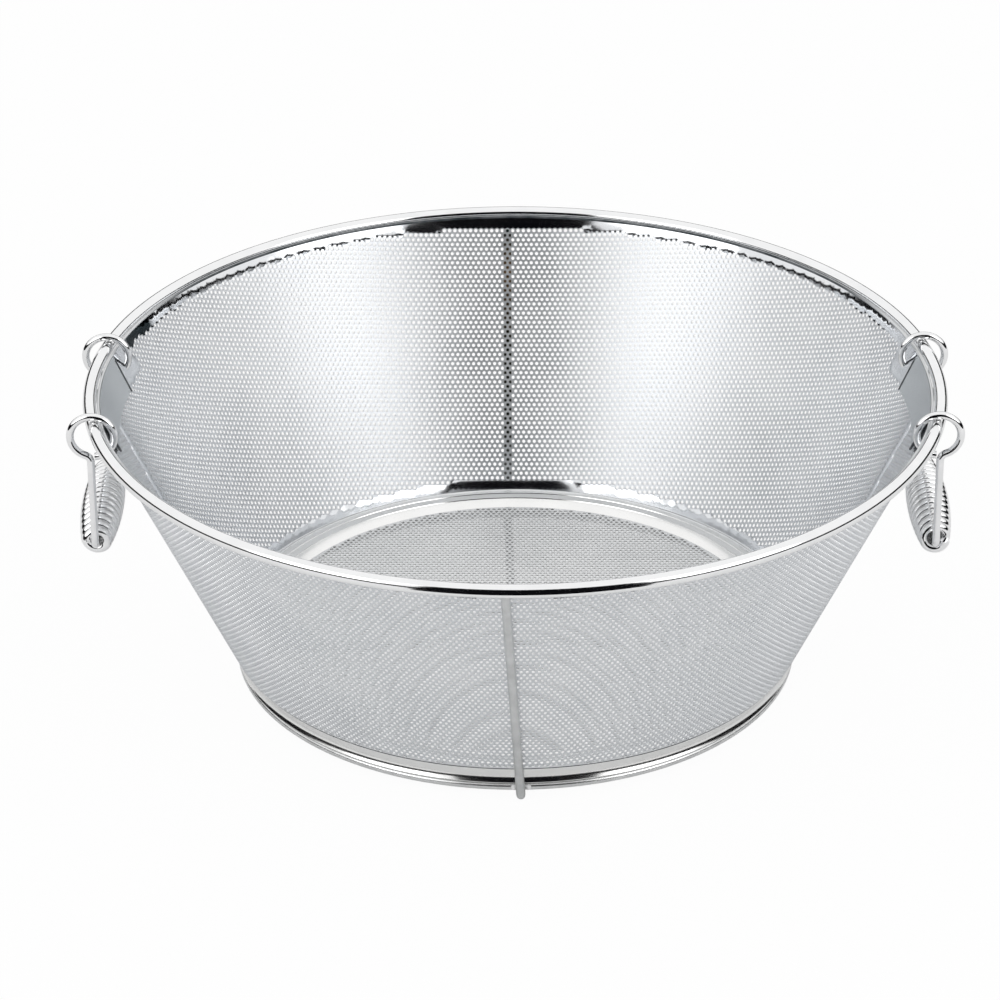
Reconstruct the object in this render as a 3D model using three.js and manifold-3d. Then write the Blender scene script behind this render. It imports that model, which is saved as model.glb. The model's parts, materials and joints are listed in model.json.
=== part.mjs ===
// Round strainer basket of punched stainless sheet, with a swinging spring-grip handle on each side.
// Millimetres, +Z up. The floor is z = 0, the basket's axis is x = y = 0, and the handles are at -X and +X.

import * as THREE from 'three';
import Module from 'manifold-3d';
import { mergeVertices } from 'three/addons/utils/BufferGeometryUtils.js';

// Clearance that is left where two pieces are welded or touch.
const weldGap = 0.3;

// Rim: a round tube that closes the mouth.
const rimOuterDiameter = 450;
const rimTubeDiameter = 7;
const rimCentreHeight = 161.2;

// Wall: two halves of a punched sheet cone, whose top edge stands against the rim tube's inner side.
const sheetThickness = 1;
const wallLeanDegrees = 25;
const wallTopBelowRimCentre = 0.6;
const wallFootHeight = 20;
const seamWidth = 0.3;

// Holes in the wall: the real sheet has 2 mm holes 3 mm apart, and a grid of wide ones stands for them.
// The wall is plain along its top and foot and beside each handle.
const wallHoleDiameter = 24;
const wallHolesAcross = 12;
const wallHoleRows = 6;
const wallPlainTop = 6.9;
const wallPlainFoot = 4;
const plainBesideHandle = 60;

// Base: a flat pressed disc with a rounded crest inside the wall's foot and a turned-down skirt.
const baseSheetThickness = 1;
const baseFloorHeight = 17.8;
const crestHeight = 3.6;
const crestRun = 13.5;
const shoulderRadius = 1.5;
const skirtLeanDegrees = 20;
const baseHoleDiameter = 22;
const baseHolesAcross = 8;

// Base ring: the round wire that the skirt stands on.
const baseRingDiameter = 4;
const baseRingOutsideSkirt = 0.7;

// Support wires: each runs from rim to rim, outside the wall and under the base ring.
const supportWireDiameter = 4.6;
const supportCrossingHalf = 14;
const supportFootRun = 8;
const frontTopSide = -5.3;
const frontFootSide = 2.5;
const rearSide = -4;

// Handle plates: plain sheet inside the wall, between the two eyes of a handle.
const handlePlateWidth = 72;
const handlePlateDepth = 20.3;

// Bails: one bent wire each, with an eye at each end that goes round the rim tube and through the wall.
const bailWireDiameter = 4;
const eyeSpacing = 94.4;
const eyeInnerRadius = 9.5;
const eyeOutsideRim = 0.8;
const eyeHoleDiameter = 6.5;
const eyeEndDegrees = 265;
const eyeRootDegrees = -70;
const legBendRadius = 4;
const bailDrop = 64.5;
const cornerRadius = 4;

// Grips: a barrel-shaped close-wound spring on each crossbar.
const coilWireDiameter = 4.8;
const coilTurns = 15;
const coilLength = 82;
const coilBarrelDiameter = 22.4;
const coilEndClearance = 0.9;

// Counts of flat faces.
const ringSteps = 72;
const rimTubeSides = 8;
const wireSides = 8;
const bendSteps = 4;
const eyeSteps = 22;
const coilStepsPerTurn = 8;
const coilSides = 5;
const drillSides = 12;
const holeSides = 6;

// How far off a flat face a point may lie and still be dropped from it.
const flatness = 0.005;

const wasm = await Module();
wasm.setup();

const radians = THREE.MathUtils.degToRad;
const lean = radians(wallLeanDegrees);
const rimCentreRadius = (rimOuterDiameter - rimTubeDiameter) / 2;

const wallTopHeight = rimCentreHeight - wallTopBelowRimCentre;
const wallTopInset = Math.sqrt((rimTubeDiameter / 2 + weldGap) ** 2 - wallTopBelowRimCentre ** 2);

function wallOuterRadius(height) {
  return rimCentreRadius - wallTopInset - (wallTopHeight - height) * Math.tan(lean);
}

function wallInnerRadius(height) {
  return wallOuterRadius(height) - sheetThickness / Math.cos(lean);
}

// Solids and meshes.

function solidFrom(geometry) {
  const bare = geometry.index ? geometry.toNonIndexed() : geometry.clone();
  bare.deleteAttribute('normal');
  bare.deleteAttribute('uv');
  const merged = mergeVertices(bare, 1e-4);
  const vertProperties = new Float32Array(merged.attributes.position.array);
  const triVerts = withoutSlivers(merged.index.array);
  const solid = new wasm.Manifold(new wasm.Mesh({ numProp: 3, vertProperties, triVerts }));
  if (solid.volume() > 0) return solid;
  for (let i = 0; i < triVerts.length; i += 3) {
    [triVerts[i], triVerts[i + 1]] = [triVerts[i + 1], triVerts[i]];
  }
  return new wasm.Manifold(new wasm.Mesh({ numProp: 3, vertProperties, triVerts }));
}

// Lathe profiles that start on the axis give triangles with two corners in one place.
function withoutSlivers(index) {
  const kept = [];
  for (let i = 0; i < index.length; i += 3) {
    const [a, b, c] = [index[i], index[i + 1], index[i + 2]];
    if (a !== b && b !== c && c !== a) kept.push(a, b, c);
  }
  return new Uint32Array(kept);
}

function geometryFrom(solid) {
  const mesh = solid.getMesh();
  const geometry = new THREE.BufferGeometry();
  geometry.setAttribute('position', new THREE.BufferAttribute(new Float32Array(mesh.vertProperties), 3));
  geometry.setIndex(new THREE.BufferAttribute(new Uint32Array(mesh.triVerts), 1));
  geometry.computeVertexNormals();
  return geometry;
}

function steelMesh(name, geometry, color, roughness) {
  const material = new THREE.MeshStandardMaterial({ color, roughness, metalness: 1 });
  const mesh = new THREE.Mesh(geometry, material);
  mesh.name = name;
  return mesh;
}

// A profile of [radius, height] points, turned round the basket's axis.
function turned(profile) {
  const points = profile.map(([radius, height]) => new THREE.Vector2(radius, height));
  const geometry = new THREE.LatheGeometry(points, ringSteps);
  geometry.rotateX(Math.PI / 2);
  return solidFrom(geometry);
}

function ringProfile(centreRadius, centreHeight, diameter, sides) {
  const profile = [];
  for (let i = 0; i <= sides; i += 1) {
    const angle = (i % sides) * 2 * Math.PI / sides;
    profile.push([
      centreRadius + diameter / 2 * Math.cos(angle),
      centreHeight + diameter / 2 * Math.sin(angle),
    ]);
  }
  return profile;
}

function boxSolid(low, high) {
  const size = high.map((value, axis) => value - low[axis]);
  const geometry = new THREE.BoxGeometry(...size);
  geometry.translate(...low.map((value, axis) => value + size[axis] / 2));
  return solidFrom(geometry);
}

// A path that passes through its own stations, so that bends get more of them than straight runs.
class StationPath extends THREE.Curve {
  constructor(stations) {
    super();
    this.stations = stations;
  }

  getPoint(share) {
    const place = share * (this.stations.length - 1);
    const before = Math.min(Math.floor(place + 1e-9), this.stations.length - 2);
    return this.stations[before].clone().lerp(this.stations[before + 1], place - before);
  }

  getPointAt(share) {
    return this.getPoint(share);
  }

  getTangentAt(share) {
    const last = this.stations.length - 1;
    const here = Math.round(share * last);
    const arriving = this.step(Math.max(here - 1, 0));
    const leaving = this.step(Math.min(here, last - 1));
    return arriving.add(leaving).normalize();
  }

  step(index) {
    return this.stations[index + 1].clone().sub(this.stations[index]).normalize();
  }
}

// A round wire along its stations. A wire that touches flat has its diameter across the flats.
function wireAlong(stations, diameter, sides, acrossFlats) {
  const cornerRadiusOfSection = acrossFlats ? diameter / 2 / Math.cos(Math.PI / sides) : diameter / 2;
  const turn = acrossFlats ? Math.PI / sides : 0;
  const corners = [];
  for (let i = 0; i < sides; i += 1) {
    const angle = turn + i * 2 * Math.PI / sides;
    corners.push(new THREE.Vector2(Math.cos(angle), Math.sin(angle)).multiplyScalar(cornerRadiusOfSection));
  }
  const extrudePath = new StationPath(stations);
  const options = { steps: stations.length - 1, extrudePath, bevelEnabled: false };
  return solidFrom(new THREE.ExtrudeGeometry(new THREE.Shape(corners), options));
}

// Points on an arc in a plane of (across, height), from one angle to another.
function arc(centre, radius, fromDegrees, toDegrees, steps) {
  const points = [];
  for (let i = 0; i <= steps; i += 1) {
    const angle = radians(fromDegrees + (toDegrees - fromDegrees) * i / steps);
    points.push([centre[0] + radius * Math.cos(angle), centre[1] + radius * Math.sin(angle)]);
  }
  return points;
}

// Rim tube.

function rimTube() {
  return turned(ringProfile(rimCentreRadius, rimCentreHeight, rimTubeDiameter, rimTubeSides));
}

// Handles: where the eyes are, and where each goes through the wall.

const eyeCentreLineRadius = eyeInnerRadius + bailWireDiameter / 2;
const eyeSide = eyeSpacing / 2;
const eyeCentreX = Math.sqrt(rimCentreRadius ** 2 - eyeSide ** 2) + eyeOutsideRim;
const eyeRise = eyeInnerRadius - rimTubeDiameter / 2 - weldGap;
const eyeCentreHeight = rimCentreHeight - Math.sqrt(eyeRise ** 2 - eyeOutsideRim ** 2);

// The angle round an eye, measured from straight outwards, at which its wire meets the wall's middle.
function eyeCrossing() {
  let inside = Math.PI;
  let outside = radians(eyeEndDegrees);
  for (let i = 0; i < 40; i += 1) {
    const middle = (inside + outside) / 2;
    const x = eyeCentreX + eyeCentreLineRadius * Math.cos(middle);
    const height = eyeCentreHeight + eyeCentreLineRadius * Math.sin(middle);
    const wallRadius = (wallInnerRadius(height) + wallOuterRadius(height)) / 2;
    if (Math.hypot(x, eyeSide) < wallRadius) inside = middle;
    else outside = middle;
  }
  return (inside + outside) / 2;
}

// A short rod along the eye's wire, which cuts the hole that the wire slides through.
function eyeHole(sideX, sideY) {
  const angle = eyeCrossing();
  const drillRadius = eyeHoleDiameter / 2;
  const drillLength = eyeHoleDiameter + 2 * sheetThickness;
  const drill = new THREE.CylinderGeometry(drillRadius, drillRadius, drillLength, drillSides);
  drill.rotateZ(angle);
  drill.rotateX(Math.PI / 2);
  drill.translate(
    eyeCentreX + eyeCentreLineRadius * Math.cos(angle),
    eyeSide * sideY,
    eyeCentreHeight + eyeCentreLineRadius * Math.sin(angle),
  );
  drill.rotateZ(sideX < 0 ? Math.PI : 0);
  return solidFrom(drill);
}

// Wall.

// A rod that cuts one hole of a grid, upright on the origin.
function holeDrill(diameter) {
  const length = sheetThickness + diameter / 4;
  const drill = new THREE.CylinderGeometry(diameter / 2, diameter / 2, length, holeSides);
  drill.rotateX(Math.PI / 2);
  return drill;
}

// The staggered rows of holes of one wall half, square to the sheet.
function wallHoles(sideY) {
  const low = wallFootHeight + wallPlainFoot;
  const rowStep = (wallTopHeight - wallPlainTop - low) / wallHoleRows;
  const reach = wallHoleDiameter / 2;
  const drills = [];
  for (let row = 0; row < wallHoleRows; row += 1) {
    const height = low + (row + 0.5) * rowStep;
    const radius = (wallInnerRadius(height) + wallOuterRadius(height)) / 2;
    const inHandleZone = height + reach > rimCentreHeight - handlePlateDepth;
    const shift = row % 2;
    for (let column = 0; column < wallHolesAcross - shift; column += 1) {
      const turn = (column + (1 + shift) / 2) * Math.PI / wallHolesAcross;
      if (inHandleZone && radius * Math.sin(turn) - reach < plainBesideHandle) continue;
      const drill = holeDrill(wallHoleDiameter);
      drill.rotateY(Math.PI / 2 + lean);
      drill.translate(radius, 0, height);
      drill.rotateZ(sideY * turn);
      drills.push(solidFrom(drill));
    }
  }
  return wasm.Manifold.union(drills);
}

function wallShell() {
  return turned([
    [wallInnerRadius(wallFootHeight), wallFootHeight],
    [wallOuterRadius(wallFootHeight), wallFootHeight],
    [wallOuterRadius(wallTopHeight), wallTopHeight],
    [wallInnerRadius(wallTopHeight), wallTopHeight],
    [wallInnerRadius(wallFootHeight), wallFootHeight],
  ]);
}

function wallHalf(sideY) {
  const reach = rimOuterDiameter;
  const near = sideY > 0 ? seamWidth / 2 : -reach;
  const far = sideY > 0 ? reach : -seamWidth / 2;
  let half = wallShell().intersect(boxSolid([-reach, near, 0], [reach, far, reach]));
  for (const sideX of [-1, 1]) {
    half = half.subtract(eyeHole(sideX, sideX > 0 ? sideY : -sideY));
  }
  return half.subtract(wallHoles(sideY)).asOriginal().simplify(flatness);
}

// Base.

const baseRingCentreHeight = supportWireDiameter + weldGap + baseRingDiameter / 2;
const skirtFootHeight = baseRingCentreHeight + baseRingDiameter / 2 + weldGap;

// Where the sheet's middle turns over at the crest, and where its flat floor ends.
const shoulderX = wallInnerRadius(wallFootHeight) - weldGap - baseSheetThickness / 2 - shoulderRadius;
const floorRadius = shoulderX - crestRun;

// The middle of the base sheet from the axis out to the skirt's foot.
function baseCentreLine() {
  const floor = baseFloorHeight - baseSheetThickness / 2;
  const crest = floor + crestHeight;
  const line = [[0, floor], [floorRadius, floor]];
  for (const share of [1 / 3, 2 / 3]) {
    const rise = Math.sin(Math.PI / 2 * share);
    line.push([shoulderX - crestRun * (1 - share), floor + crestHeight * rise]);
  }
  line.push(...arc([shoulderX, crest - shoulderRadius], shoulderRadius, 90, -skirtLeanDegrees, bendSteps));
  const [lastX, lastHeight] = line[line.length - 1];
  const skirtDrop = lastHeight - skirtFootHeight;
  line.push([lastX - skirtDrop * Math.tan(radians(skirtLeanDegrees)), skirtFootHeight]);
  return line;
}

// Both faces of a sheet, a half thickness to each side of its middle line.
function sheetProfile(line, thickness) {
  const upper = [];
  const lower = [];
  line.forEach(([x, height], i) => {
    const before = line[Math.max(i - 1, 0)];
    const after = line[Math.min(i + 1, line.length - 1)];
    const arriving = i > 0 ? new THREE.Vector2(x - before[0], height - before[1]).normalize() : null;
    const last = i === line.length - 1;
    const leaving = last ? null : new THREE.Vector2(after[0] - x, after[1] - height).normalize();
    const along = (arriving ?? leaving).clone().add(leaving ?? arriving).normalize();
    const stretch = 1 / along.dot(arriving ?? leaving);
    const offset = new THREE.Vector2(-along.y, along.x).multiplyScalar(thickness / 2 * stretch);
    upper.push([Math.max(x + offset.x, 0), height + offset.y]);
    lower.unshift([Math.max(x - offset.x, 0), height - offset.y]);
  });
  return [...upper, ...lower];
}

// The staggered rows of holes in the flat floor.
function baseHoles() {
  const pitch = 2 * floorRadius / baseHolesAcross;
  const rowStep = pitch * Math.sin(Math.PI / 3);
  const reach = Math.ceil(floorRadius / rowStep);
  const drills = [];
  for (let row = -reach; row <= reach; row += 1) {
    for (let column = -reach; column <= reach; column += 1) {
      const x = (column + Math.abs(row % 2) / 2) * pitch;
      const y = row * rowStep;
      if (Math.hypot(x, y) + baseHoleDiameter / 2 > floorRadius) continue;
      const drill = holeDrill(baseHoleDiameter);
      drill.translate(x, y, baseFloorHeight - baseSheetThickness / 2);
      drills.push(solidFrom(drill));
    }
  }
  return wasm.Manifold.union(drills);
}

function baseDisc() {
  const disc = turned(sheetProfile(baseCentreLine(), baseSheetThickness));
  return disc.subtract(baseHoles()).asOriginal().simplify(flatness);
}

const skirtFootRadius = baseCentreLine().at(-1)[0];
const baseRingCentreRadius = skirtFootRadius + baseRingOutsideSkirt;

function baseRing() {
  return turned(ringProfile(baseRingCentreRadius, baseRingCentreHeight, baseRingDiameter, wireSides));
}

// Support wires.

// One arm in (radius, height): from under the rim tube straight down to the base ring and round below it.
function supportArm() {
  const out = new THREE.Vector2(Math.cos(lean), -Math.sin(lean));
  const up = new THREE.Vector2(Math.sin(lean), Math.cos(lean));
  const toWall = new THREE.Vector2(-wallTopInset, -wallTopBelowRimCentre).dot(out);
  const top = new THREE.Vector2(rimCentreRadius, rimCentreHeight)
    .addScaledVector(out, toWall + weldGap + supportWireDiameter / 2)
    .addScaledVector(up, -(rimTubeDiameter / 2 + 2 * weldGap));
  const turnRadius = (baseRingDiameter + supportWireDiameter) / 2 + weldGap;
  const ringCentre = new THREE.Vector2(baseRingCentreRadius, baseRingCentreHeight);
  const toTop = top.clone().sub(ringCentre);
  const touch = toTop.angle() - Math.acos(turnRadius / toTop.length());
  const turn = arc(ringCentre.toArray(), turnRadius, THREE.MathUtils.radToDeg(touch), -90, bendSteps + 1);
  return [top.toArray(), ...turn];
}

function supportPath(middle) {
  const arm = supportArm();
  const otherArm = arm.map(([radius, height]) => [-radius, height]).reverse();
  return [...arm, ...middle, ...otherArm];
}

// The front arm leans a little to the side, so the wire isn't quite straight from above.
function frontBackWire() {
  const stations = supportPath([]).map(([along, height]) => new THREE.Vector3(0, -along, height));
  const solid = wireAlong(stations, supportWireDiameter, wireSides, true);
  return solid.warp((vertex) => {
    const [, y, height] = vertex;
    const climb = THREE.MathUtils.clamp(height / rimCentreHeight, 0, 1);
    const front = THREE.MathUtils.lerp(frontFootSide, frontTopSide, climb);
    const forward = THREE.MathUtils.clamp((1 - y / baseRingCentreRadius) / 2, 0, 1);
    vertex[0] += THREE.MathUtils.lerp(rearSide, front, forward);
  });
}

function leftRightWire() {
  const low = supportWireDiameter / 2;
  const high = low + supportWireDiameter + weldGap;
  const footEnd = baseRingCentreRadius - supportFootRun;
  const middle = [
    [footEnd, low],
    [supportCrossingHalf, high],
    [-supportCrossingHalf, high],
    [-footEnd, low],
  ];
  const stations = supportPath(middle).map(([along, height]) => new THREE.Vector3(along, 0, height));
  return wireAlong(stations, supportWireDiameter, wireSides, true);
}

// Handle plates.

function handlePlate(sideX) {
  const top = wallTopHeight;
  const foot = rimCentreHeight - handlePlateDepth;
  const clear = weldGap / Math.cos(lean);
  const thick = sheetThickness / Math.cos(lean);
  const shell = turned([
    [wallInnerRadius(foot) - clear - thick, foot],
    [wallInnerRadius(foot) - clear, foot],
    [wallInnerRadius(top) - clear, top],
    [wallInnerRadius(top) - clear - thick, top],
    [wallInnerRadius(foot) - clear - thick, foot],
  ]);
  const reach = rimOuterDiameter;
  const half = handlePlateWidth / 2;
  const near = sideX > 0 ? 0 : -reach;
  return shell.intersect(boxSolid([near, -half, 0], [near + reach, half, reach]));
}

// Bails, drawn about the line through their eyes, with the basket towards -X.

// One eye and its leg in (x, height), from the eye's cut end to the top of the straight leg.
function eyeStations() {
  const loop = arc([0, 0], eyeCentreLineRadius, eyeEndDegrees, eyeRootDegrees, eyeSteps);
  const root = loop[loop.length - 1];
  const rootAngle = radians(eyeRootDegrees);
  const bendCentre = [
    root[0] + legBendRadius * Math.cos(rootAngle),
    root[1] + legBendRadius * Math.sin(rootAngle),
  ];
  const bend = arc(bendCentre, legBendRadius, eyeRootDegrees + 180, 180, bendSteps);
  return [...loop, ...bend.slice(1)];
}

const legX = eyeStations().at(-1)[0];

function bail() {
  const eye = eyeStations();
  const corner = arc([eyeSide - cornerRadius, cornerRadius - bailDrop], cornerRadius, 0, -90, bendSteps);
  const half = eye.map(([x, height]) => new THREE.Vector3(x, eyeSide, height));
  corner.forEach(([y, height]) => half.push(new THREE.Vector3(legX, y, height)));
  const otherHalf = half.map((station) => new THREE.Vector3(station.x, -station.y, station.z)).reverse();
  return wireAlong([...half, ...otherHalf], bailWireDiameter, wireSides, false);
}

// Grips.

const coilEndRadius = (bailWireDiameter + coilWireDiameter) / 2 + coilEndClearance;
const coilBarrelRadius = (coilBarrelDiameter - coilWireDiameter) / 2;

function coilStations() {
  const steps = coilTurns * coilStepsPerTurn;
  const stations = [];
  for (let i = 0; i <= steps; i += 1) {
    const place = 2 * i / steps - 1;
    const radius = coilBarrelRadius - (coilBarrelRadius - coilEndRadius) * place ** 2;
    const angle = i * 2 * Math.PI / coilStepsPerTurn;
    const [x, height] = [radius * Math.cos(angle), radius * Math.sin(angle)];
    stations.push(new THREE.Vector3(x, place * coilLength / 2, height));
  }
  const runOn = (end, next) => end.clone().add(end.clone().sub(next).setLength(coilWireDiameter));
  return [
    runOn(stations[0], stations[1]),
    ...stations,
    runOn(stations.at(-1), stations.at(-2)),
  ];
}

function coil() {
  return wireAlong(coilStations(), coilWireDiameter, coilSides, false);
}

// The least gap between stretches of a wound wire that are at least half a turn apart.
function leastSelfGap(stations, diameter, apart) {
  const points = [];
  for (let i = 0; i + 1 < stations.length; i += 1) {
    for (const share of [0, 0.25, 0.5, 0.75]) points.push(stations[i].clone().lerp(stations[i + 1], share));
  }
  let least = Infinity;
  for (let i = 0; i < points.length; i += 1) {
    for (let j = i + apart * 4; j < points.length; j += 1) {
      least = Math.min(least, points[i].distanceTo(points[j]));
    }
  }
  return least - diameter;
}

const coilGap = leastSelfGap(coilStations(), coilWireDiameter, coilStepsPerTurn / 2);
console.log(`Least gap of each grip's coil to itself: ${coilGap.toFixed(2)} mm`);

// Assembly.

const basket = new THREE.Group();

basket.add(steelMesh('rim_tube', geometryFrom(rimTube()), 0xd4d6d8, 0.15));
basket.add(steelMesh('wall_rear', geometryFrom(wallHalf(1)), 0xc4c8ca, 0.3));
basket.add(steelMesh('wall_front', geometryFrom(wallHalf(-1)), 0xc4c8ca, 0.3));
basket.add(steelMesh('base_disc', geometryFrom(baseDisc()), 0xc8caca, 0.3));
basket.add(steelMesh('base_ring', geometryFrom(baseRing()), 0xd0d2d2, 0.2));
basket.add(steelMesh('support_wire_front_back', geometryFrom(frontBackWire()), 0x9aa09e, 0.4));
basket.add(steelMesh('support_wire_left_right', geometryFrom(leftRightWire()), 0x9aa09e, 0.4));

for (const [side, sideX] of [['left', -1], ['right', 1]]) {
  basket.add(steelMesh(`handle_plate_${side}`, geometryFrom(handlePlate(sideX)), 0xa6abad, 0.35));

  const handle = new THREE.Group();
  handle.position.set(sideX * eyeCentreX, 0, eyeCentreHeight);
  handle.rotation.z = sideX < 0 ? Math.PI : 0;
  handle.add(steelMesh(`bail_${side}`, geometryFrom(bail()), 0xd8dadb, 0.12));

  const grip = steelMesh(`grip_${side}`, geometryFrom(coil()), 0xdadcdc, 0.12);
  grip.position.set(legX, 0, -bailDrop);
  handle.add(grip);
  basket.add(handle);
}

export default basket;
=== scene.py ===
# Round strainer basket of punched stainless sheet, with a swinging spring-grip handle on each side.
# Metres, +Z up. The basket stands on z = 0 about the axis x = y = 0, with the handles at -X and +X.

import json
from math import atan2, cos, hypot, pi, radians, sin, tan

import bmesh
import bpy
from mathutils import Matrix, Vector


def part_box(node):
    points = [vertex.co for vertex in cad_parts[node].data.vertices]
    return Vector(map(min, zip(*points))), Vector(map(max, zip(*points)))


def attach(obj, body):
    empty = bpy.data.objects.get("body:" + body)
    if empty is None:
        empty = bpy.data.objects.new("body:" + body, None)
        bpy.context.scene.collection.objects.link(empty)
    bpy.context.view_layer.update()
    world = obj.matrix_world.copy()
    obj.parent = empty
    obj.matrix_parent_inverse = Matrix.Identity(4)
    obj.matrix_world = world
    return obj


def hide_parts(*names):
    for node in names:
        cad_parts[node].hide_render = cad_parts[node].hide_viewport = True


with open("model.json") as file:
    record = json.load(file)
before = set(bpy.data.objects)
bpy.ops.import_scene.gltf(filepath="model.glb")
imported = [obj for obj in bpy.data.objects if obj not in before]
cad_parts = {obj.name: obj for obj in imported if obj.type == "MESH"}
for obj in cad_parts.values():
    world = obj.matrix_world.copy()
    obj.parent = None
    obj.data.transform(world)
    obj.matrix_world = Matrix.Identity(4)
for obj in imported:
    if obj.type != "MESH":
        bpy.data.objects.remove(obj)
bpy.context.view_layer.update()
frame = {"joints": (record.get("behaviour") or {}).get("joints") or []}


# Camera
# A long lens stands two metres in front of the basket and a little over a metre up, and looks down into it.
# Its place, turn and length put the rim, the foot and the handles where the photograph has them.

camera_lens = bpy.data.cameras.new("camera")
camera_lens.sensor_width = 36
camera_lens.lens = 153.5
camera = bpy.data.objects.new("camera", camera_lens)
camera.location = (-0.00268, -1.99689, 1.14722)
camera.rotation_euler = (radians(62.18), radians(0.1686), radians(0.0675))
bpy.context.scene.collection.objects.link(camera)
bpy.context.scene.camera = camera
bpy.context.scene.view_settings.view_transform = "Standard"


# Studio
# A white sweep and white light all round, with dark card where the real studio has a gap, because bright
# steel shows mostly what stands about it. The cards are seen by reflections alone.

mm = 0.001
floor_size = 12
floor_drop = 0.2 * mm
full_white = (1, 1, 1, 1)
sweep_white = (0.93, 0.93, 0.93, 1)
sweep_to_camera = 0.96
sweep_to_steel = 0.07
room_light = 0.75
card_black = (0.004, 0.004, 0.005, 1)


class Channel:
    """A number or colour that may change over a surface. Sums and products of channels become nodes."""

    def __init__(self, finish, socket):
        self.finish = finish
        self.socket = socket

    def maths(self, operation, first, second):
        return self.finish.node("ShaderNodeMath", {"operation": operation}, {0: first, 1: second})

    def __add__(self, other):
        return self.maths("ADD", self, other)

    def __radd__(self, other):
        return self.maths("ADD", other, self)

    def __mul__(self, other):
        return self.maths("MULTIPLY", self, other)

    def __rmul__(self, other):
        return self.maths("MULTIPLY", other, self)


class Finish:
    """The node tree of a material or of the world."""

    def __init__(self, owner):
        self.owner = owner
        owner.use_nodes = True
        self.tree = owner.node_tree
        self.tree.nodes.clear()

    def node(self, kind, settings=None, inputs=None, output=0):
        """Adds a node with its settings and the values or links of its sockets, and gives one output."""
        made = self.tree.nodes.new(kind)
        for name, value in (settings or {}).items():
            if name == "stops":
                self.set_stops(made.color_ramp, value)
            else:
                setattr(made, name, value)
        for name, value in (inputs or {}).items():
            if isinstance(value, Channel):
                self.tree.links.new(value.socket, made.inputs[name])
            else:
                made.inputs[name].default_value = value
        return Channel(self, made.outputs[output] if made.outputs else None)

    def set_stops(self, ramp, stops):
        while len(ramp.elements) < len(stops):
            ramp.elements.new(1)
        for element, (place, colour) in zip(ramp.elements, stops):
            element.position = place
            element.color = colour


def put_in_scene(name, shape, *finishes):
    """Makes a finished shape an object at the origin, with its materials in order."""
    mesh = bpy.data.meshes.new(name)
    shape.to_mesh(mesh)
    shape.free()
    piece = bpy.data.objects.new(name, mesh)
    for finish in finishes:
        mesh.materials.append(finish)
    bpy.context.scene.collection.objects.link(piece)
    return piece


def white_light(owner, white, output, to_camera, to_steel):
    """White where the camera, a reflection or glass looks at it, and plain light elsewhere."""
    finish = Finish(owner)
    looks = [finish.node("ShaderNodeLightPath", output=name)
             for name in ("Is Camera Ray", "Is Glossy Ray", "Is Transmission Ray")]
    seen = looks[0] * to_camera + looks[1] * to_steel + looks[2] * to_camera
    glow = finish.node("ShaderNodeEmission", inputs={"Color": full_white, "Strength": 1.0})
    if output == "ShaderNodeOutputWorld":
        light = finish.node("ShaderNodeBackground", inputs={"Color": full_white, "Strength": room_light})
    else:
        light = finish.node("ShaderNodeBsdfDiffuse", inputs={"Color": white})
    mixed = finish.node("ShaderNodeMixShader", inputs={0: seen, 1: light, 2: glow})
    finish.node(output, inputs={"Surface": mixed})


surroundings = bpy.data.worlds.new("white surroundings")
white_light(surroundings, full_white, "ShaderNodeOutputWorld", 1.0, 1.0)
bpy.context.scene.world = surroundings

sweep_paper = bpy.data.materials.new("sweep_paper")
white_light(sweep_paper, sweep_white, "ShaderNodeOutputMaterial", sweep_to_camera, sweep_to_steel)
shape = bmesh.new()
bmesh.ops.create_grid(shape, x_segments=2, y_segments=2, size=floor_size / 2)
bmesh.ops.translate(shape, vec=(0, 0, -floor_drop), verts=shape.verts)
floor = put_in_scene("floor", shape, sweep_paper)

black_card = bpy.data.materials.new("black_card")
finish = Finish(black_card)
card_face = finish.node("ShaderNodeEmission", inputs={"Color": card_black, "Strength": 1.0})
finish.node("ShaderNodeOutputMaterial", inputs={"Surface": card_face})


def stage_card(card):
    """Leaves a card to reflections alone."""
    card.visible_camera = False
    card.visible_diffuse = False
    card.visible_shadow = False
    card.visible_transmission = False


card_depth = -2.05
card_low = Vector((-0.89, card_depth, 0))
card_high = Vector((1.28, card_depth, 2.2))
shape = bmesh.new()
bmesh.ops.create_cube(shape, size=1)
bmesh.ops.scale(shape, vec=(card_high.x - card_low.x, mm, card_high.z - card_low.z), verts=shape.verts)
bmesh.ops.translate(shape, vec=(card_low + card_high) / 2, verts=shape.verts)
stage_card(put_in_scene("card_front", shape, black_card))

aisle_near = -0.4
aisle_far = card_depth
aisle_near_width = 0.34
aisle_far_width = 2.2
aisle_near_middle = 0.025
aisle_far_middle = 0.175
shape = bmesh.new()
bmesh.ops.create_grid(shape, x_segments=1, y_segments=1, size=0.5)
bmesh.ops.scale(shape, vec=(aisle_near_width, aisle_near - aisle_far, 1), verts=shape.verts)
far_end = [vert for vert in shape.verts if vert.co.y < 0]
bmesh.ops.scale(shape, vec=(aisle_far_width / aisle_near_width, 1, 1), verts=far_end)
bmesh.ops.translate(shape, vec=(aisle_far_middle - aisle_near_middle, 0, 0), verts=far_end)
bmesh.ops.translate(shape, vec=(aisle_near_middle, (aisle_near + aisle_far) / 2, mm), verts=shape.verts)
stage_card(put_in_scene("dark_aisle_before_the_basket", shape, black_card))

dark_edge_radius = 1.5
dark_edge_height = 0.4
shape = bmesh.new()
bmesh.ops.create_cone(shape, segments=96, radius1=dark_edge_radius, radius2=dark_edge_radius,
                      depth=dark_edge_height)
bmesh.ops.translate(shape, vec=(0, 0, dark_edge_height / 2), verts=shape.verts)
stage_card(put_in_scene("dark_edge_of_the_table", shape, black_card))

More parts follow.
